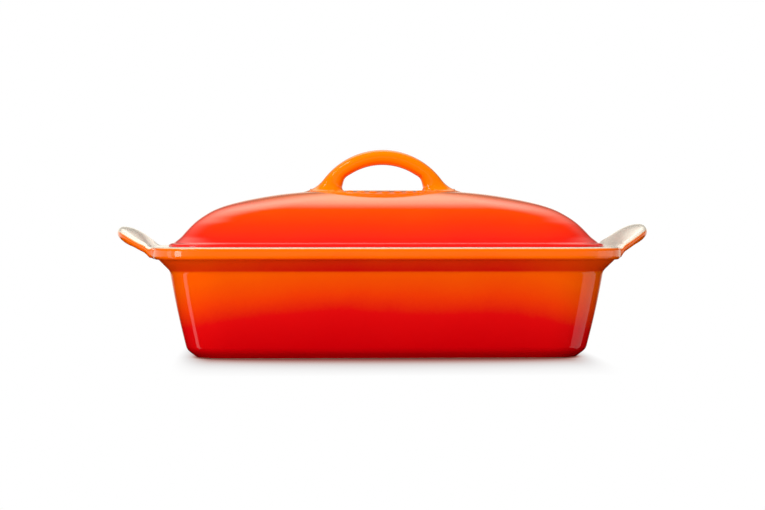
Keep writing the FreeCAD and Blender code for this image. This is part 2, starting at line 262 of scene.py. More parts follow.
def glazed_stoneware(name, low, high, stops, corner_drop):
    """Stoneware sprayed with a flame glaze, red at one height and orange at another, and dipped
    in cream on the inside. Fired glaze gives the eye a deep even colour under a sharp wet gloss,
    a soft cloudy edge between the two sprayed colours and a pale line where the glaze runs thin
    over an edge; painted shade darkens the colour towards red where a face looks down. Red is at
    the height low and orange at high, in millimetres; corner_drop lowers both towards the ends."""
    material, tree = new_material(name)
    place = add_node(tree, "ShaderNodeTexCoord").outputs["Object"]
    axes = add_node(tree, "ShaderNodeSeparateXYZ", links={0: place})
    cloud = add_node(tree, "ShaderNodeTexNoise",
                     {"Scale": 1 / (60 * MM), "Detail": 3.0, "Roughness": 0.5},
                     {"Vector": place})
    mist = add_node(tree, "ShaderNodeTexNoise",
                    {"Scale": 1 / (2.2 * MM), "Detail": 4.0, "Roughness": 0.7},
                    {"Vector": place})
    across = add_node(tree, "ShaderNodeMath", {"operation": "ABSOLUTE"}, {0: axes.outputs["X"]})
    corner = add_node(tree, "ShaderNodeMapRange",
                      {"interpolation_type": "SMOOTHSTEP", "From Min": 75 * MM,
                       "From Max": RIM_HALF_X * MM, "To Min": 0.0, "To Max": corner_drop},
                      {"Value": across.outputs[0]})
    height = add_node(tree, "ShaderNodeMapRange",
                      {"clamp": False, "From Min": low * MM, "From Max": high * MM},
                      {"Value": axes.outputs["Z"]})
    drift = add_node(tree, "ShaderNodeMapRange",
                     {"To Min": -0.10, "To Max": 0.10}, {"Value": cloud.outputs[0]})
    spray = add_node(tree, "ShaderNodeMapRange",
                     {"To Min": -0.035, "To Max": 0.035}, {"Value": mist.outputs[0]})
    raised = add_node(tree, "ShaderNodeMath", {"operation": "ADD"},
                      {0: height.outputs[0], 1: corner.outputs[0]})
    facing = add_node(tree, "ShaderNodeSeparateXYZ",
                      links={0: add_node(tree, "ShaderNodeTexCoord").outputs["Normal"]})
    # Painted shade: the colour is pushed towards dark red where a face looks down, as under the
    # rim.
    painted_underside_shade = add_node(tree, "ShaderNodeMapRange",
                      {"interpolation_type": "SMOOTHSTEP", "From Min": -0.65, "From Max": -0.35,
                       "To Min": -0.42, "To Max": 0.0}, {"Value": facing.outputs["Z"]})
    height_and_painted_shade = add_node(tree, "ShaderNodeMath", {"operation": "ADD"},
                       {0: raised.outputs[0], 1: painted_underside_shade.outputs[0]})
    drifted = add_node(tree, "ShaderNodeMath", {"operation": "ADD"},
                       {0: height_and_painted_shade.outputs[0], 1: drift.outputs[0]})
    sprayed = add_node(tree, "ShaderNodeMath", {"operation": "ADD"},
                       {0: drifted.outputs[0], 1: spray.outputs[0]})
    flame = add_node(tree, "ShaderNodeValToRGB", links={0: sprayed.outputs[0]})
    set_ramp(flame, stops)
    line = add_node(tree, "ShaderNodeAttribute", {"attribute_name": "glaze_line"})
    wander = add_node(tree, "ShaderNodeMapRange",
                      {"To Min": -FLOW, "To Max": FLOW}, {"Value": mist.outputs[0]})
    edge = add_node(tree, "ShaderNodeMath", {"operation": "ADD"},
                    {0: line.outputs["Fac"], 1: wander.outputs[0]})
    inside = add_node(tree, "ShaderNodeMapRange",
                      {"interpolation_type": "SMOOTHSTEP", "From Min": -0.25, "From Max": 0.35},
                      {"Value": edge.outputs[0]})
    thin = add_node(tree, "ShaderNodeMapRange",
                    {"interpolation_type": "SMOOTHSTEP", "From Min": -1.1, "From Max": 0.1,
                     "To Min": 0.0, "To Max": 0.75},
                    {"Value": edge.outputs[0]})
    bare = add_node(tree, "ShaderNodeMapRange",
                    {"interpolation_type": "SMOOTHSTEP", "From Min": BARE - 2, "From Max": BARE + 2,
                     "To Min": 1.0, "To Max": 0.0},
                    {"Value": line.outputs["Fac"]})
    broken = add_node(tree, "ShaderNodeMix",
                      {"data_type": "RGBA", 7: linear(BREAK)},
                      {0: thin.outputs[0], 6: flame.outputs[0]})
    lined = add_node(tree, "ShaderNodeMix",
                     {"data_type": "RGBA", 7: linear(CREAM)},
                     {0: inside.outputs[0], 6: broken.outputs[2]})
    footed = add_node(tree, "ShaderNodeMix",
                      {"data_type": "RGBA", 7: linear(BISQUE)},
                      {0: bare.outputs[0], 6: lined.outputs[2]})
    gloss = add_node(tree, "ShaderNodeMapRange",
                     {"To Min": 0.07, "To Max": 0.75}, {"Value": bare.outputs[0]})
    ripple = add_node(tree, "ShaderNodeTexNoise",
                      {"Scale": 1 / (14 * MM), "Detail": 2.0, "Roughness": 0.45},
                      {"Vector": place})
    bump = add_node(tree, "ShaderNodeBump", {"Strength": 0.07, "Distance": 0.35 * MM},
                    {"Height": ripple.outputs[0]})
    shader = add_node(tree, "ShaderNodeBsdfPrincipled",
                      {"IOR": 1.5},
                      {"Base Color": footed.outputs[2], "Roughness": gloss.outputs[0],
                       "Normal": bump.outputs[0]})
    add_node(tree, "ShaderNodeOutputMaterial", links={"Surface": shader.outputs[0]})
    return material


DISH_STOPS = [(0.0, "D60008"), (0.36, "E60A0C"), (0.55, "F53D04"), (0.82, "FC5C00"),
              (0.9, "FE5C00"), (1.0, "FF6A00")]
LID_STOPS = [(0.0, "E81A14"), (0.35, "FB3206"), (0.7, "FF4A00"), (0.92, "FF7000"),
             (1.0, "FF8000")]

dish_glaze = glazed_stoneware("sprayed_flame_glaze_dish", 8, 74, DISH_STOPS, 0.22)
lid_glaze = glazed_stoneware("sprayed_flame_glaze_lid", 80, 119, LID_STOPS, 0.0)

# ------------------------------------------------------------------ dish

CORNER_AT_RIM = 40
CORNER_SHRINK = 0.6       # corner radius lost for each millimetre of inset
EDGE_HEIGHT = 8.8
EDGE_ROUND = 2.5
EDGE_TOP_ROOT = 6.0       # inset where the rim's top face meets the edge and the ears
EDGE_UNDER_ROOT = 3.4     # and its underside
ROUND_STEPS = 6           # steps over each rounded corner of the edge
UPRIGHT_STEPS = 3         # and down the face between them
GLAZE_BREAK = 2.4         # cream starts this far up the rounding from the upright edge
EAR_GLAZE_BREAK = 1.7     # and laps further down over the fat lip of the ears
OVERHANG = 11.5
WALL_TOP = 60.8
WALL_FOOT = 23.2
WALL_FOOT_HEIGHT = 5.4
WALL_BULGE = 0.7          # how far the wall bows out between its foot and its top
BULGE_FOOT = 5.0          # height where the bow starts
FOOT_INSET = 30.0
FOOT_RING = 9.0
FOOT_RECESS = 1.5
FOOT_EDGE = 1.5           # the bare face starts this far outside the ring's sharp line
FOOT_FACE = 0.6           # and reaches this high
LEVEL_INSET = 46.0        # the floor and the recess are level from here inwards
FLOOR = 9.0
FLOOR_CORNER = 32.0       # inset where the wall would meet the floor, before rounding
RIM_WIDTH = 18.5
LINED = 50.0              # glaze values well inside the cream, well outside it and on the foot
SPRAYED = -50.0
UNGLAZED = -110.0

EAR_BEND = RIM_HALF_X + 1.7      # where the ear starts to climb
EAR_LEVEL = RIM_HALF_X + 26.2    # where it is level again, towards its tip
EAR_START = 0.2                  # share of the climb over which it starts gently
EAR_RISE = (14.4, 16.3)          # left and right: finished by hand, they differ a little
EAR_HALF_WIDTH = 58.0
EAR_BLEND = 10.0                 # width over which the rise fades out past the ear's sides
EAR_SHOULDER = 52.0
EAR_SPREAD = 5.0                 # how much wider the ear is where it meets the rim
EAR_CORNER = 27.0
EAR_FILLET = 13.0
EAR_BOW = 160.0                  # radius of its bowed tip
EAR_CROWN = 4.4                  # the middle stands this much above the sides
EAR_CROWN_PACE = 1.3             # and does so fully after 1 / 1.3 of the climb
EAR_HOLLOW = 3.2                 # and this much more, half way up the climb
EAR_NECK_LENGTH = 7.0            # from the rim out, the edge thins over this length
EAR_LIP_START = 15.0             # and thickens again from here
EAR_LIP_LENGTH = 11.0
EAR_ROUNDNESS = 0.47             # radius of its edge as a share of the thickness
EAR_NECK = 7.3                   # thickness half way out
EAR_LIP = 9.2                    # and at the rounded lip of its tip
EAR_STEPS = 9


def dish_ring(inset, height):
    corner = CORNER_AT_RIM - CORNER_SHRINK * inset
    return at_height(ring_outline(RIM_HALF_X - inset, RIM_HALF_Y - inset, corner), height)


def ear_contour(end):
    """Half an ear's outline seen from above, from the middle of its tip to the rim's side."""
    path = rounded_path([
        (EAR_TIP, 0, 0), (EAR_TIP, EAR_SHOULDER, EAR_CORNER),
        (RIM_HALF_X, EAR_HALF_WIDTH + EAR_SPREAD, EAR_FILLET), (RIM_HALF_X, end, 0)], 2.5)
    path[:, 0] -= path[:, 1] ** 2 / (2 * EAR_BOW) * smoothstep(
        (path[:, 0] - RIM_HALF_X) / EAR_CORNER)
    return path


def ear_rise(points):
    """How far the ear's surface stands above the rim at each point seen from above."""
    out = np.clip((np.abs(points[:, 0]) - EAR_BEND) / (EAR_LEVEL - EAR_BEND), 0.0, 1.0)
    aside = np.abs(points[:, 1])
    climb = (1 - (1 - out) ** 2) * smoothstep(out / EAR_START)
    within = smoothstep((EAR_HALF_WIDTH + EAR_BLEND - aside) / EAR_BLEND)
    lower = EAR_CROWN * smoothstep(out * EAR_CROWN_PACE) + EAR_HOLLOW * np.sin(math.pi * out)
    fall = lower * (aside / EAR_HALF_WIDTH) ** 2
    return (np.where(points[:, 0] < 0, *EAR_RISE) * climb - fall) * within


def outer_edge(outline):
    """The rim's outline with both ears, point by point."""
    edge = outline.copy()
    side_end = outline[SIDE_STEPS, 1]
    half = resample(ear_contour(side_end), SIDE_STEPS + 1)
    size = len(outline)
    for step in range(SIDE_STEPS + 1):
        x, y = half[step]
        opposite = size // 2 - step
        for index, sign_x, sign_y in ((step, 1, 1), (-step % size, 1, -1),
                                      (opposite, -1, 1), (size - opposite, -1, -1)):
            edge[index] = (x * sign_x, y * sign_y)
    return edge


def outward(edge):
    """Unit directions pointing out of a closed outline."""
    along = np.roll(edge, -1, axis=0) - np.roll(edge, 1, axis=0)
    normal = np.stack([along[:, 1], -along[:, 0]], axis=1)
    return normal / np.linalg.norm(normal, axis=1)[:, None]


def edge_rings():
    """Rings over the rim's and the ears' outer edge, from the top face round to underneath, and
    a glaze value or a row of values for each."""
    outline = ring_outline(RIM_HALF_X, RIM_HALF_Y, CORNER_AT_RIM)
    edge = outer_edge(outline)
    normal = outward(edge)
    out = np.abs(edge[:, 0]) - RIM_HALF_X
    neck = smoothstep(out / EAR_NECK_LENGTH)
    lip = smoothstep((out - EAR_LIP_START) / EAR_LIP_LENGTH)
    thickness = EDGE_HEIGHT + (EAR_NECK - EDGE_HEIGHT) * neck + (EAR_LIP - EAR_NECK) * lip
    radius = EDGE_ROUND + (thickness * EAR_ROUNDNESS - EDGE_ROUND) * neck
    top_root = dish_ring(EDGE_TOP_ROOT, 0)[:, :2]
    under_root = dish_ring(EDGE_UNDER_ROOT, 0)[:, :2]
    inner = edge - normal * radius[:, None]
    glaze_break = GLAZE_BREAK + (EAR_GLAZE_BREAK - GLAZE_BREAK) * neck
    rings, glaze = [], []
    for step in range(1, EAR_STEPS + 1):
        flat = top_root + (inner - top_root) * step / EAR_STEPS
        rings.append(np.column_stack([flat, RIM_TOP + ear_rise(flat)]))
        glaze.append(LINED)
    quarter = [math.pi / 2 * step / ROUND_STEPS for step in range(1, ROUND_STEPS + 1)]
    for angle in quarter:
        flat = inner + normal * (radius * math.sin(angle))[:, None]
        drop = radius * (1 - math.cos(angle))
        rings.append(np.column_stack([flat, RIM_TOP + ear_rise(flat) - drop]))
        glaze.append(radius * (math.pi / 2 - angle) - glaze_break)
    for step in range(1, UPRIGHT_STEPS + 1):
        drop = radius + (thickness - 2 * radius) * step / UPRIGHT_STEPS
        rings.append(np.column_stack([edge, RIM_TOP + ear_rise(edge) - drop]))
        glaze.append(-glaze_break - 1.5 * step)
    for angle in quarter:
        flat = inner + normal * (radius * math.cos(angle))[:, None]
        drop = thickness - radius * (1 - math.sin(angle))
        rings.append(np.column_stack([flat, RIM_TOP + ear_rise(flat) - drop]))
        glaze.append(SPRAYED)
    for step in range(1, EAR_STEPS + 1):
        flat = inner + (under_root - inner) * step / EAR_STEPS
        rings.append(np.column_stack([flat, RIM_TOP + ear_rise(flat) - thickness]))
        glaze.append(SPRAYED)
    return rings, glaze


def spread_rings(inset, height, shares):
    """Rings shrunk towards the middle of a level face."""
    ring = dish_ring(inset, height)
    return [ring * (share, share, 1.0) for share in shares]


def make_dish():
    """The dish as one surface: the floor, up the inside, over the edge, down the outside and
    across underneath."""
    rings = spread_rings(LEVEL_INSET, FLOOR, (0.02, 0.15, 0.35, 0.55, 0.75, 0.9))
    inside = rounded_path([
        (LEVEL_INSET, FLOOR, 0), (FLOOR_CORNER, FLOOR, 12), (RIM_WIDTH, RIM_TOP, 4),
        (EDGE_TOP_ROOT, RIM_TOP, 0)])
    rings += [dish_ring(inset, height) for inset, height in inside]
    glaze = [LINED] * len(rings)
    more, more_glaze = edge_rings()
    rings += more
    glaze += more_glaze
    edge_foot = RIM_TOP - EDGE_HEIGHT
    ring_in = FOOT_INSET + FOOT_RING
    outside = rounded_path([
        (EDGE_UNDER_ROOT, edge_foot, 0), (EDGE_UNDER_ROOT + 0.2, edge_foot, 0.1),
        (OVERHANG, WALL_TOP, 6), (WALL_FOOT, WALL_FOOT_HEIGHT, 7), (FOOT_INSET, 0, 1.2),
        (ring_in - 0.6, 0, 0.7), (ring_in, FOOT_RECESS, 0.7), (LEVEL_INSET, FOOT_RECESS, 0)])
    for inset, height in outside[1:]:
        climb = (height - BULGE_FOOT) / (WALL_TOP - BULGE_FOOT)
        bulge = WALL_BULGE * max(0, math.sin(math.pi * climb))
        rings.append(dish_ring(inset - bulge, height))
        bare = inset > FOOT_INSET - FOOT_EDGE and height < FOOT_FACE
        glaze.append(UNGLAZED if bare else SPRAYED)
    rings += spread_rings(LEVEL_INSET, FOOT_RECESS, (0.9, 0.6, 0.3, 0.02))
    glaze += [SPRAYED] * (len(rings) - len(glaze))
    skin = Skin()
    skin.add_rings(rings, glaze)
    return skin.make("dish_stoneware", dish_glaze)


dish = make_dish()
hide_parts("dish")
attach(dish, "dish")

# ------------------------------------------------------------------ lid

# From the lid's edge to its crown: inset along X, inset along Y, height above the rim, and the
# corner radius as a share of the half width there.
LID_CURVE = [
    (6.2, 6.2, 4.9, 0.335),
    (8.6, 8.4, 7.0, 0.34),
    (11.1, 10.5, 9.9, 0.345),
    (13.6, 12.7, 12.7, 0.35),
    (17.1, 15.8, 16.3, 0.36),
    (20.4, 19.0, 19.2, 0.38),
    (25.0, 22.1, 22.5, 0.41),
    (30.3, 25.9, 25.7, 0.45),
    (38.0, 31.4, 29.0, 0.51),
    (48.8, 39.0, 32.2, 0.59),
    (62.4, 48.6, 35.2, 0.68),
    (80.0, 61.1, 38.1, 0.78),
    (104.0, 77.6, 40.2, 0.88),
    (130.0, 95.6, 40.9, 0.95),
    (152.0, 110.8, 41.0, 0.98),
]
LID_CORNER = 0.335        # corner radius at the edge, as a share of the half width
LID_WALL = 5.5
LIP_INSET = 10.0
LIP_THICK = 6.0
SEAT_GAP = 0.05           # the lid rests on the rim with this much glaze to glaze
LID_GLAZE = 20.0          # glaze value on the cream side; the sprayed side has it negative


def lid_ring(inset_x, inset_y, rise, share):
    half_x = LID_HALF_X - inset_x
    half_y = LID_HALF_Y - inset_y
    return at_height(ring_outline(half_x, half_y, share * half_y), RIM_TOP + rise)


def lid_rings():
    """Rings from the middle of the crown out to the edge, under it and up to the ceiling, and
    how many of them make the crown."""
    crown = smooth_curve(LID_CURVE, 4)[::-1]
    rings = [lid_ring(*row) for row in crown]
    edge = rounded_path([
        (6.2, 4.9, 0), (3.8, 3.0, 1.8), (1.6, 2.5, 1.2), (0.0, 1.5, 0.9), (0.0, SEAT_GAP, 0.4),
        (LIP_INSET, SEAT_GAP, 0.8), (LIP_INSET + 0.6, 2 - LIP_DEPTH, 1.2),
        (LIP_INSET + 3, -LIP_DEPTH, 1.6), (LIP_INSET + LIP_THICK, -LIP_DEPTH, 1.8),
        (LIP_INSET + LIP_THICK + 1, 2.5, 3), (14 + LID_WALL, 14.5 - LID_WALL, 0)], 4.0, 0.25)
    rings += [lid_ring(inset, inset, rise, LID_CORNER) for inset, rise in edge[1:-1]]
    ceiling = smooth_curve([
        (x + LID_WALL, y + LID_WALL, z - LID_WALL, share)
        for x, y, z, share in LID_CURVE[3:-1]], 3)
    rings += [lid_ring(*row) for row in ceiling]
    return rings, len(crown)


# loop handle: sizes in the upright plane through its middle
LOOP_CENTRE = TOTAL_HEIGHT - 54.5
LOOP_OUTER = 54.5
LOOP_INNER = 44.0
LOOP_THICK = 11.1
LOOP_LEG = 29.5
LOOP_SWEEP = 0.56         # angle of the inner arch, to each side of the top
LOOP_HALF_DEPTH = 10.0
LOOP_POWER = 2.5          # above 2, so that the strap's section is a little square
LOOP_STEPS = 26
LOOP_AROUND = 40
LOOP_BASE = 126.6         # height where the arch ends and its roots start to flare
ROOT_STEPS = 9
ROOT_SPREAD = 3.2         # how far a root flares towards the middle,
ROOT_SPREAD_SIDE = 3.0    # how much more to front and back,
ROOT_SPREAD_OUT = 9.5     # and how much more outwards
ROOT_DEPTH = 1.5          # it ends this far under the crown


def loop_lines():
    """Matching points along the outside and the inside of half the arch, from its top down."""
    leg_angle = math.asin((LOOP_BASE - LOOP_CENTRE) / LOOP_OUTER)
    angles = np.linspace(math.pi / 2, leg_angle, LOOP_STEPS + 1)
    outside = np.stack(
        [LOOP_OUTER * np.cos(angles), LOOP_CENTRE + LOOP_OUTER * np.sin(angles)], axis=1)
    top = TOTAL_HEIGHT - LOOP_THICK
    centre = top - LOOP_INNER
    sweep = np.linspace(math.pi / 2, math.pi / 2 - LOOP_SWEEP, 20)
    arch = np.stack([LOOP_INNER * np.cos(sweep), centre + LOOP_INNER * np.sin(sweep)], axis=1)
    corner = smooth_curve([
        arch[-2], arch[-1], (LOOP_LEG - 1.6, LOOP_BASE + 1.0), (LOOP_LEG, LOOP_BASE - 3.8)], 6)
    inside = resample(np.concatenate([arch[:-2], corner]), LOOP_STEPS + 1)
    return outside, inside


def loop_section(outside, inside):
    """A rounded strap section between a point of the arch's outside and one of its inside."""
    turn = np.linspace(0, 2 * math.pi, LOOP_AROUND, endpoint=False)
    across = np.sign(np.cos(turn)) * np.abs(np.cos(turn)) ** (2 / LOOP_POWER)
    deep = np.sign(np.sin(turn)) * np.abs(np.sin(turn)) ** (2 / LOOP_POWER)
    middle = (outside + inside) / 2
    reach = (outside - inside) / 2
    return np.stack([
        middle[0] + reach[0] * across, LOOP_HALF_DEPTH * deep, middle[1] + reach[1] * across],
        axis=1)


def root_rings(before, base, surface):
    """Rings that flare from the foot of a leg out onto the crown, meeting it without an edge."""
    centre = base.mean(axis=0)
    outward_way = base[:, :2] - centre[:2]
    outward_way /= np.linalg.norm(outward_way, axis=1)[:, None]
    down = base - before
    down /= np.linalg.norm(down, axis=1)[:, None]
    facing = outward_way[:, 0] * np.sign(centre[0])
    spread = (ROOT_SPREAD + ROOT_SPREAD_SIDE * (1 - np.abs(facing))
              + ROOT_SPREAD_OUT * smoothstep(facing) ** 1.5)
    crown = np.array([height_on(surface, *spot) for spot in base[:, :2]])
    knee = base + down * ((base[:, 2] - crown) / -down[:, 2])[:, None]
    end = knee[:, :2] + outward_way * spread[:, None]
    end = np.array([(x, y, height_on(surface, x, y) - 0.1) for x, y in end])
    rings = []
    for step in range(1, ROOT_STEPS + 1):
        t = step / ROOT_STEPS
        rings.append(base * (1 - t) ** 2 + knee * 2 * t * (1 - t) + end * t ** 2)
    rings.append(rings[-1] * (0.97, 0.97, 1) + np.array([centre[0] * 0.03, 0, -ROOT_DEPTH]))
    return rings


def height_on(surface, x, y):
    """Height of the crown over a point, in millimetres."""
    hit = surface.ray_cast(Vector((x, y, TOTAL_HEIGHT + 10)), Vector((0, 0, -1)))
    return hit[0].z


def loop_rings(surface):
    """Rings from the root of the left leg, up and over the arch, to the root of the right."""
    outside, inside = loop_lines()
    right = [loop_section(out, into) for out, into in zip(outside, inside)]
    right += root_rings(right[-2], right[-1], surface)
    left = [ring * (-1, 1, 1) for ring in right[:0:-1]]
    return left + right


def crown_surface(rings):
    """The crown alone, in millimetres, to be asked for its height."""
    skin = Skin()
    skin.add_rings(rings, [0.0] * len(rings))
    return BVHTree.FromPolygons([Vector(point) for point in skin.points], skin.faces)


def make_lid():
    """The lid's shell and the loop with its roots sunk in the crown, in one mesh. Cream starts
    on the seat under the edge, and everything after that is cream."""
    rings, crown_count = lid_rings()
    seat = next(index for index in range(crown_count, len(rings))
                if rings[index][0][0] < LID_HALF_X - 1.0 and rings[index][0][2] < RIM_TOP + 1.0)
    glaze = [-LID_GLAZE] * seat + [LID_GLAZE] * (len(rings) - seat)
    skin = Skin()
    skin.add_rings(rings, glaze)
    loop = loop_rings(crown_surface(rings[:crown_count]))
    skin.add_rings(loop, [-LID_GLAZE] * len(loop))
    return skin.make("lid_stoneware", lid_glaze)


lid = make_lid()
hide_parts("lid")
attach(lid, "lid")

# ------------------------------------------------------------------ relief on the crown

RELIEF_SIZES = {
    "Line Half Length": 53.0, "Line Half Width": 57.0, "Line Radius": 0.9,
    "Band Half Length": 45.0, "Band Half Width": 47.5, "Dash Count": 32,
    "Dash Depth": 4.2, "Dash Height": 1.7, "Dash Length": 6.6, "Root Half Width": 15.0,
}
RELIEF_SEED = 3
LINE_POINTS = 320
LINE_SINK = 0.3           # how far the line's middle and the dashes' middles lie in the crown
DASH_SINK = 0.1


def add_oval(tree, half_length, half_width):
    """A closed oval, resampled into even steps; the caller sets their count."""
    circle = add_node(tree, "GeometryNodeCurvePrimitiveCircle",
                      {"Resolution": 256, "Radius": 1.0})
    reach = add_node(tree, "ShaderNodeCombineXYZ", {"Z": 1.0}, {"X": half_length, "Y": half_width})
    oval = add_node(tree, "GeometryNodeTransform",
                    links={"Geometry": circle.outputs[0], "Scale": reach.outputs[0]})
    return add_node(tree, "GeometryNodeResampleCurve", links={"Curve": oval.outputs[0]})


def drop_on(tree, geometry, surface, sink):
    """Moves points straight down onto a surface, and a little into it."""
    above = add_node(tree, "GeometryNodeInputPosition")
    lifted = add_node(tree, "ShaderNodeVectorMath", {"operation": "ADD", 1: (0, 0, 0.3)},
                      {0: above.outputs[0]})
    hit = add_node(tree, "GeometryNodeRaycast", {"Ray Direction": (0, 0, -1), "Ray Length": 1.0},
                   {"Target Geometry": surface, "Source Position": lifted.outputs[0]})
    sunk = add_node(tree, "ShaderNodeVectorMath", {"operation": "SUBTRACT", 1: (0, 0, sink)},
                    {0: hit.outputs["Hit Position"]})
    moved = add_node(tree, "GeometryNodeSetPosition",
                     links={"Geometry": geometry, "Position": sunk.outputs[0]})
    return moved.outputs[0]


def make_relief_tree(material):
    """Nodes that lay a raised line and a band of dashes on the crown, round the loop's roots."""
    tree = bpy.data.node_groups.new("crown_relief", "GeometryNodeTree")
    face = tree.interface
    face.new_socket("Geometry", in_out="INPUT", socket_type="NodeSocketGeometry")
    for name in RELIEF_SIZES:
        kind = "NodeSocketInt" if name == "Dash Count" else "NodeSocketFloat"
        face.new_socket(name, in_out="INPUT", socket_type=kind)
    face.new_socket("Seed", in_out="INPUT", socket_type="NodeSocketInt")
    face.new_socket("Geometry", in_out="OUTPUT", socket_type="NodeSocketGeometry")
    given = add_node(tree, "NodeGroupInput").outputs
    crown = given["Geometry"]

    oval = add_oval(tree, given["Line Half Length"], given["Line Half Width"])
    oval.inputs["Count"].default_value = LINE_POINTS
    line = drop_on(tree, oval.outputs[0], crown, LINE_SINK * MM)
    ring = add_node(tree, "GeometryNodeCurvePrimitiveCircle", {"Resolution": 10},
                    {"Radius": given["Line Radius"]})
    cord = add_node(tree, "GeometryNodeCurveToMesh",
                    links={"Curve": line, "Profile Curve": ring.outputs[0]})

    band = add_oval(tree, given["Band Half Length"], given["Band Half Width"])
    tree.links.new(given["Dash Count"], band.inputs["Count"])
    spots = add_node(tree, "GeometryNodeCurveToPoints",
                     links={"Curve": band.outputs[0], "Count": given["Dash Count"]})
    laid = drop_on(tree, spots.outputs["Points"], crown, DASH_SINK * MM)
    place = add_node(tree, "ShaderNodeSeparateXYZ",
                     links={0: add_node(tree, "GeometryNodeInputPosition").outputs[0]})
    beside = add_node(tree, "ShaderNodeMath", {"operation": "ABSOLUTE"}, {0: place.outputs["Y"]})
    at_root = add_node(tree, "FunctionNodeCompare", {"operation": "LESS_THAN"},
                       {0: beside.outputs[0], 1: given["Root Half Width"]})
    kept = add_node(tree, "GeometryNodeDeleteGeometry",
                    links={"Geometry": laid, "Selection": at_root.outputs[0]})
    drop = add_node(tree, "GeometryNodeMeshUVSphere",
                    {"Segments": 16, "Rings": 10, "Radius": 0.5})
    size = add_node(tree, "ShaderNodeCombineXYZ",
                    links={"X": given["Dash Depth"], "Y": given["Dash Height"],
                           "Z": given["Dash Length"]})
    wobble = add_node(tree, "FunctionNodeRandomValue",
                      {"data_type": "FLOAT", 2: 0.92, 3: 1.08}, {"Seed": given["Seed"]})
    uneven = add_node(tree, "ShaderNodeVectorMath", {"operation": "SCALE"},
                      {0: size.outputs[0], "Scale": wobble.outputs[1]})
    dashes = add_node(tree, "GeometryNodeInstanceOnPoints",
                      links={"Points": kept.outputs[0], "Instance": drop.outputs[0],
                             "Rotation": spots.outputs["Rotation"],
                             "Scale": uneven.outputs[0]})
    joined = add_node(tree, "GeometryNodeJoinGeometry", links={0: cord.outputs[0]})
    tree.links.new(dashes.outputs[0], joined.inputs[0])
    solid = add_node(tree, "GeometryNodeRealizeInstances", links={0: joined.outputs[0]})
    smooth = add_node(tree, "GeometryNodeSetShadeSmooth", links={"Geometry": solid.outputs[0]})
    coated = add_node(tree, "GeometryNodeStoreNamedAttribute",
                      {"data_type": "FLOAT", "domain": "POINT", "Name": "glaze_line",
                       "Value": -LID_GLAZE}, {"Geometry": smooth.outputs[0]})
    glazed = add_node(tree, "GeometryNodeSetMaterial", links={"Geometry": coated.outputs[0]})
    glazed.inputs["Material"].default_value = material
    add_node(tree, "NodeGroupOutput", links={0: glazed.outputs[0]})
    return tree


def make_relief(crown, material):
    """The relief as a plain mesh, standing on a crown."""
    tree = make_relief_tree(material)
    piece = bpy.data.objects.new("lid_relief", crown.data)
    bpy.context.scene.collection.objects.link(piece)
    relief = piece.modifiers.new("relief", "NODES")
    relief.node_group = tree
    for item in tree.interface.items_tree:
        if item.in_out == "INPUT" and item.name in RELIEF_SIZES:
            value = RELIEF_SIZES[item.name]
            relief[item.identifier] = value if item.name == "Dash Count" else value * MM
        elif item.in_out == "INPUT" and item.name == "Seed":
            relief[item.identifier] = RELIEF_SEED
    graph = bpy.context.evaluated_depsgraph_get()
    mesh = bpy.data.meshes.new_from_object(piece.evaluated_get(graph), depsgraph=graph)
    mesh.name = "lid_relief"
    piece.modifiers.clear()
    piece.data = mesh
    return piece


relief = make_relief(lid, lid_glaze)
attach(relief, "lid")

# ------------------------------------------------------------------ studio

# Lengths in the studio are metres.
# Painted shadow on the floor: its half length, and colours tinted warm as if by light bounced off
# the dish.
PAINTED_SHADOW_HALF_LENGTH = 0.152
PAINTED_SHADOW_STOPS = [(0.0, "5A1410"), (0.40, "94544D"), (0.55, "BC958F"), (0.70, "D8CBC9"),
                (0.85, "EAE8E8"), (0.99, "FFFFFF")]
WALL_LIGHT = 0.62         # what lights the matt parts
BACK_BOX = 1.7            # the soft box mirrored in the crown
HORIZON = 0.09            # of its light, in the pale wall below it
HORIZON_GLOW = 0.9        # white paper just above the floor, mirrored at a glance
MIRRORED_WALL = 0.01      # the dark rest of the studio
BOX_DISTANCE = 1.5


def make_plane(name, half_x, half_y, place, material):
    mesh = bpy.data.meshes.new(name)
    mesh.from_pydata([(-half_x, -half_y, 0), (half_x, -half_y, 0), (half_x, half_y, 0),
                      (-half_x, half_y, 0)], [], [(0, 1, 2, 3)])
    mesh.materials.append(material)
    plane = bpy.data.objects.new(name, mesh)
    plane.location = place
    bpy.context.scene.collection.objects.link(plane)
    return plane


def paper(name):
    """Matt white background paper: pure white all round, with a painted soft warm shadow in front
    of the dish, ambient occlusion turned into colour and emitted to the camera. It throws little
    light back up."""
    material, tree = new_material(name)
    # Painted shadow: occlusion, cut off beside the dish, turned into shadow colours that the camera
    # sees as emitted light.
    shade = add_node(tree, "ShaderNodeAmbientOcclusion", {"samples": 32, "Distance": 0.16})
    place = add_node(tree, "ShaderNodeTexCoord").outputs["Object"]
    axes = add_node(tree, "ShaderNodeSeparateXYZ", links={0: place})
    across = add_node(tree, "ShaderNodeMath", {"operation": "ABSOLUTE"}, {0: axes.outputs["X"]})
    beside = add_node(tree, "ShaderNodeMapRange",
                      {"interpolation_type": "SMOOTHSTEP", "From Min": PAINTED_SHADOW_HALF_LENGTH * 0.8,
                       "From Max": PAINTED_SHADOW_HALF_LENGTH}, {"Value": across.outputs[0]})
    shown = add_node(tree, "ShaderNodeMix", {"data_type": "FLOAT", 3: 1.0},
                     {0: beside.outputs[0], 2: shade.outputs["AO"]})
    tone = add_node(tree, "ShaderNodeValToRGB", links={0: shown.outputs[0]})
    set_ramp(tone, PAINTED_SHADOW_STOPS)
    path = add_node(tree, "ShaderNodeLightPath")
    matt = add_node(tree, "ShaderNodeBsdfDiffuse", {"Color": linear("B2AFAC")})
    lit = add_node(tree, "ShaderNodeEmission", links={"Color": tone.outputs[0]})
    seen = add_node(tree, "ShaderNodeMixShader",
                    links={0: path.outputs["Is Camera Ray"], 1: matt.outputs[0],
                           2: lit.outputs[0]})
    add_node(tree, "ShaderNodeOutputMaterial", links={"Surface": seen.outputs[0]})
    return material


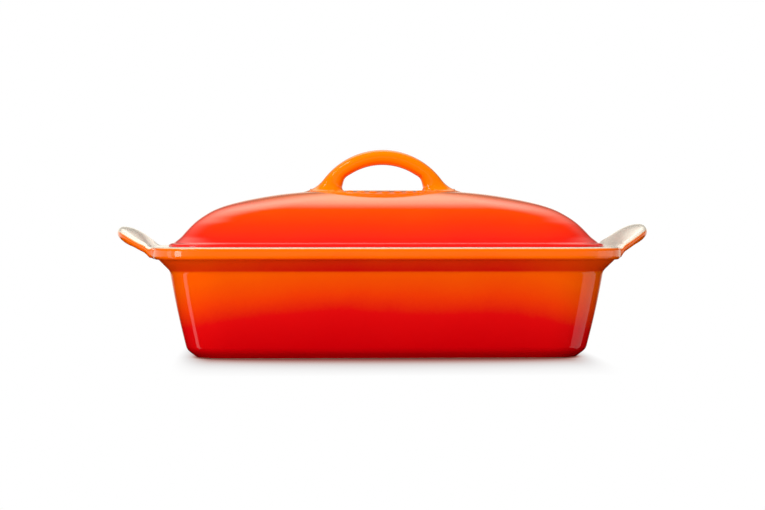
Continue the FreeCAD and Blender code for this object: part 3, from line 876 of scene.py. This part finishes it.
def add_light(name, place, target, size, power):
    """A soft box of a size in metres, aimed at a point."""
    data = bpy.data.lights.new(name, "AREA")
    data.shape = "RECTANGLE"
    data.size, data.size_y = size
    data.energy = power
    light = bpy.data.objects.new(name, data)
    light.location = place
    light.rotation_euler = (Vector(target) - Vector(place)).to_track_quat("-Z", "Y").to_euler()
    bpy.context.scene.collection.objects.link(light)
    return light


floor = make_plane("floor", 6.0, 6.0, (0, 0, 0), paper("background_paper"))
floor.visible_glossy = False


def make_world():
    """A studio all round: even pale walls that light the dish, with a white paper background.
    What the gloss mirrors is darker: a broad soft box high up behind, a pale wall below it and
    white paper at the horizon."""
    world = bpy.data.worlds.new("studio")
    bpy.context.scene.world = world
    world.use_nodes = True
    tree = world.node_tree
    tree.nodes.clear()
    way = add_node(tree, "ShaderNodeTexCoord").outputs["Generated"]
    axes = add_node(tree, "ShaderNodeSeparateXYZ", links={0: way})
    soft = {"interpolation_type": "SMOOTHSTEP"}
    low_edge = add_node(tree, "ShaderNodeMapRange",
                        {**soft, "From Min": 0.20, "From Max": 0.62, "To Min": HORIZON},
                        {"Value": axes.outputs["Z"]})
    high_edge = add_node(tree, "ShaderNodeMapRange",
                         {**soft, "From Min": 0.84, "From Max": 0.99, "To Min": 1.0,
                          "To Max": 0.0}, {"Value": axes.outputs["Z"]})
    above = add_node(tree, "ShaderNodeMapRange", {**soft, "From Min": -0.02, "From Max": 0.02},
                     {"Value": axes.outputs["Z"]})
    behind = add_node(tree, "ShaderNodeMapRange", {**soft, "From Min": 0.35, "From Max": 0.72},
                      {"Value": axes.outputs["Y"]})
    band = add_node(tree, "ShaderNodeMath", {"operation": "MULTIPLY"},
                    {0: low_edge.outputs[0], 1: high_edge.outputs[0]})
    across = add_node(tree, "ShaderNodeMath", {"operation": "ABSOLUTE"}, {0: axes.outputs["X"]})
    ends = add_node(tree, "ShaderNodeMapRange",
                    {**soft, "From Min": 0.08, "From Max": 0.48, "To Min": 1.0, "To Max": 0.17},
                    {"Value": across.outputs[0]})
    lowered = add_node(tree, "ShaderNodeMath", {"operation": "MULTIPLY"},
                       {0: band.outputs[0], 1: ends.outputs[0]})
    raised = add_node(tree, "ShaderNodeMath", {"operation": "MULTIPLY"},
                      {0: lowered.outputs[0], 1: above.outputs[0]})
    box = add_node(tree, "ShaderNodeMath", {"operation": "MULTIPLY"},
                   {0: raised.outputs[0], 1: behind.outputs[0]})
    glow = add_node(tree, "ShaderNodeMapRange",
                    {**soft, "From Min": 0.03, "From Max": 0.20, "To Min": HORIZON_GLOW,
                     "To Max": MIRRORED_WALL}, {"Value": axes.outputs["Z"]})
    grazed = add_node(tree, "ShaderNodeMapRange", {**soft, "From Min": -0.14, "From Max": -0.05},
                      {"Value": axes.outputs["Z"]})
    front = add_node(tree, "ShaderNodeMapRange",
                     {**soft, "From Min": -0.98, "From Max": -0.45, "To Min": 0.3},
                     {"Value": axes.outputs["Y"]})
    paled = add_node(tree, "ShaderNodeMath", {"operation": "MULTIPLY"},
                     {0: grazed.outputs[0], 1: front.outputs[0]})
    horizon = add_node(tree, "ShaderNodeMath", {"operation": "MULTIPLY"},
                       {0: glow.outputs[0], 1: paled.outputs[0]})
    mirrored = add_node(tree, "ShaderNodeMath", {"operation": "MULTIPLY_ADD", 1: BACK_BOX},
                        {0: box.outputs[0], 2: horizon.outputs[0]})
    path = add_node(tree, "ShaderNodeLightPath")
    light = add_node(tree, "ShaderNodeMix", {"data_type": "FLOAT", 2: WALL_LIGHT},
                     {0: path.outputs["Is Glossy Ray"], 3: mirrored.outputs[0]})
    seen = add_node(tree, "ShaderNodeMix", {"data_type": "FLOAT", 3: 1.0},
                    {0: path.outputs["Is Camera Ray"], 2: light.outputs[0]})
    tint = add_node(tree, "ShaderNodeMix",
                    {"data_type": "RGBA", 6: linear("FFFFFF"), 7: linear("FFF8E8")},
                    {0: path.outputs["Is Glossy Ray"]})
    back = add_node(tree, "ShaderNodeBackground",
                    links={"Color": tint.outputs[2], "Strength": seen.outputs[0]})
    add_node(tree, "ShaderNodeOutputWorld", links={"Surface": back.outputs[0]})


make_world()
middle = (0, 0, 0.06)
for light in (add_light("front_fill", (-1.3, -2.2, 1.0), middle, (2.0, 1.6), 46),
              add_light("top_light", (0, -0.2, 3.0), middle, (4.0, 4.0), 52)):
    light.visible_glossy = False

# Soft boxes that only show in the gloss: degrees round from the front, height, height they aim
# at, size and power.
MIRRORED_BOXES = {
    "left_strip": (-84, -0.45, -0.45, (0.30, 1.3), 1.5),
    "left_window": (-63, 0.1, 0.1, (0.36, 0.4), 3.0),
    "right_panel": (84, -0.45, -0.45, (1.2, 1.3), 3.2),
    "loop_strip": (-70, 1.97, 0.14, (0.24, 1.0), 8.0),
}
for name, (degrees, height, aim, size, power) in MIRRORED_BOXES.items():
    turn = math.radians(degrees)
    place = (BOX_DISTANCE * math.sin(turn), -BOX_DISTANCE * math.cos(turn), height)
    add_light(name, place, (0, 0, aim), size, power).visible_diffuse = False

# ------------------------------------------------------------------ camera

EYE_HEIGHT = 0.0931
EYE_DISTANCE = 1.56
EYE_TURN = math.radians(2.6)
AIM_HEIGHT = 0.0709

camera_data = bpy.data.cameras.new("camera")
camera_data.sensor_width = 36
camera_data.lens = 99.0
camera = bpy.data.objects.new("camera", camera_data)
camera.location = (-EYE_DISTANCE * math.sin(EYE_TURN), -EYE_DISTANCE * math.cos(EYE_TURN),
                   EYE_HEIGHT)
camera.rotation_euler = (Vector((0, 0, AIM_HEIGHT)) - camera.location).to_track_quat(
    "-Z", "Y").to_euler()
bpy.context.scene.collection.objects.link(camera)
bpy.context.scene.camera = camera
bpy.context.scene.view_settings.view_transform = "Standard"
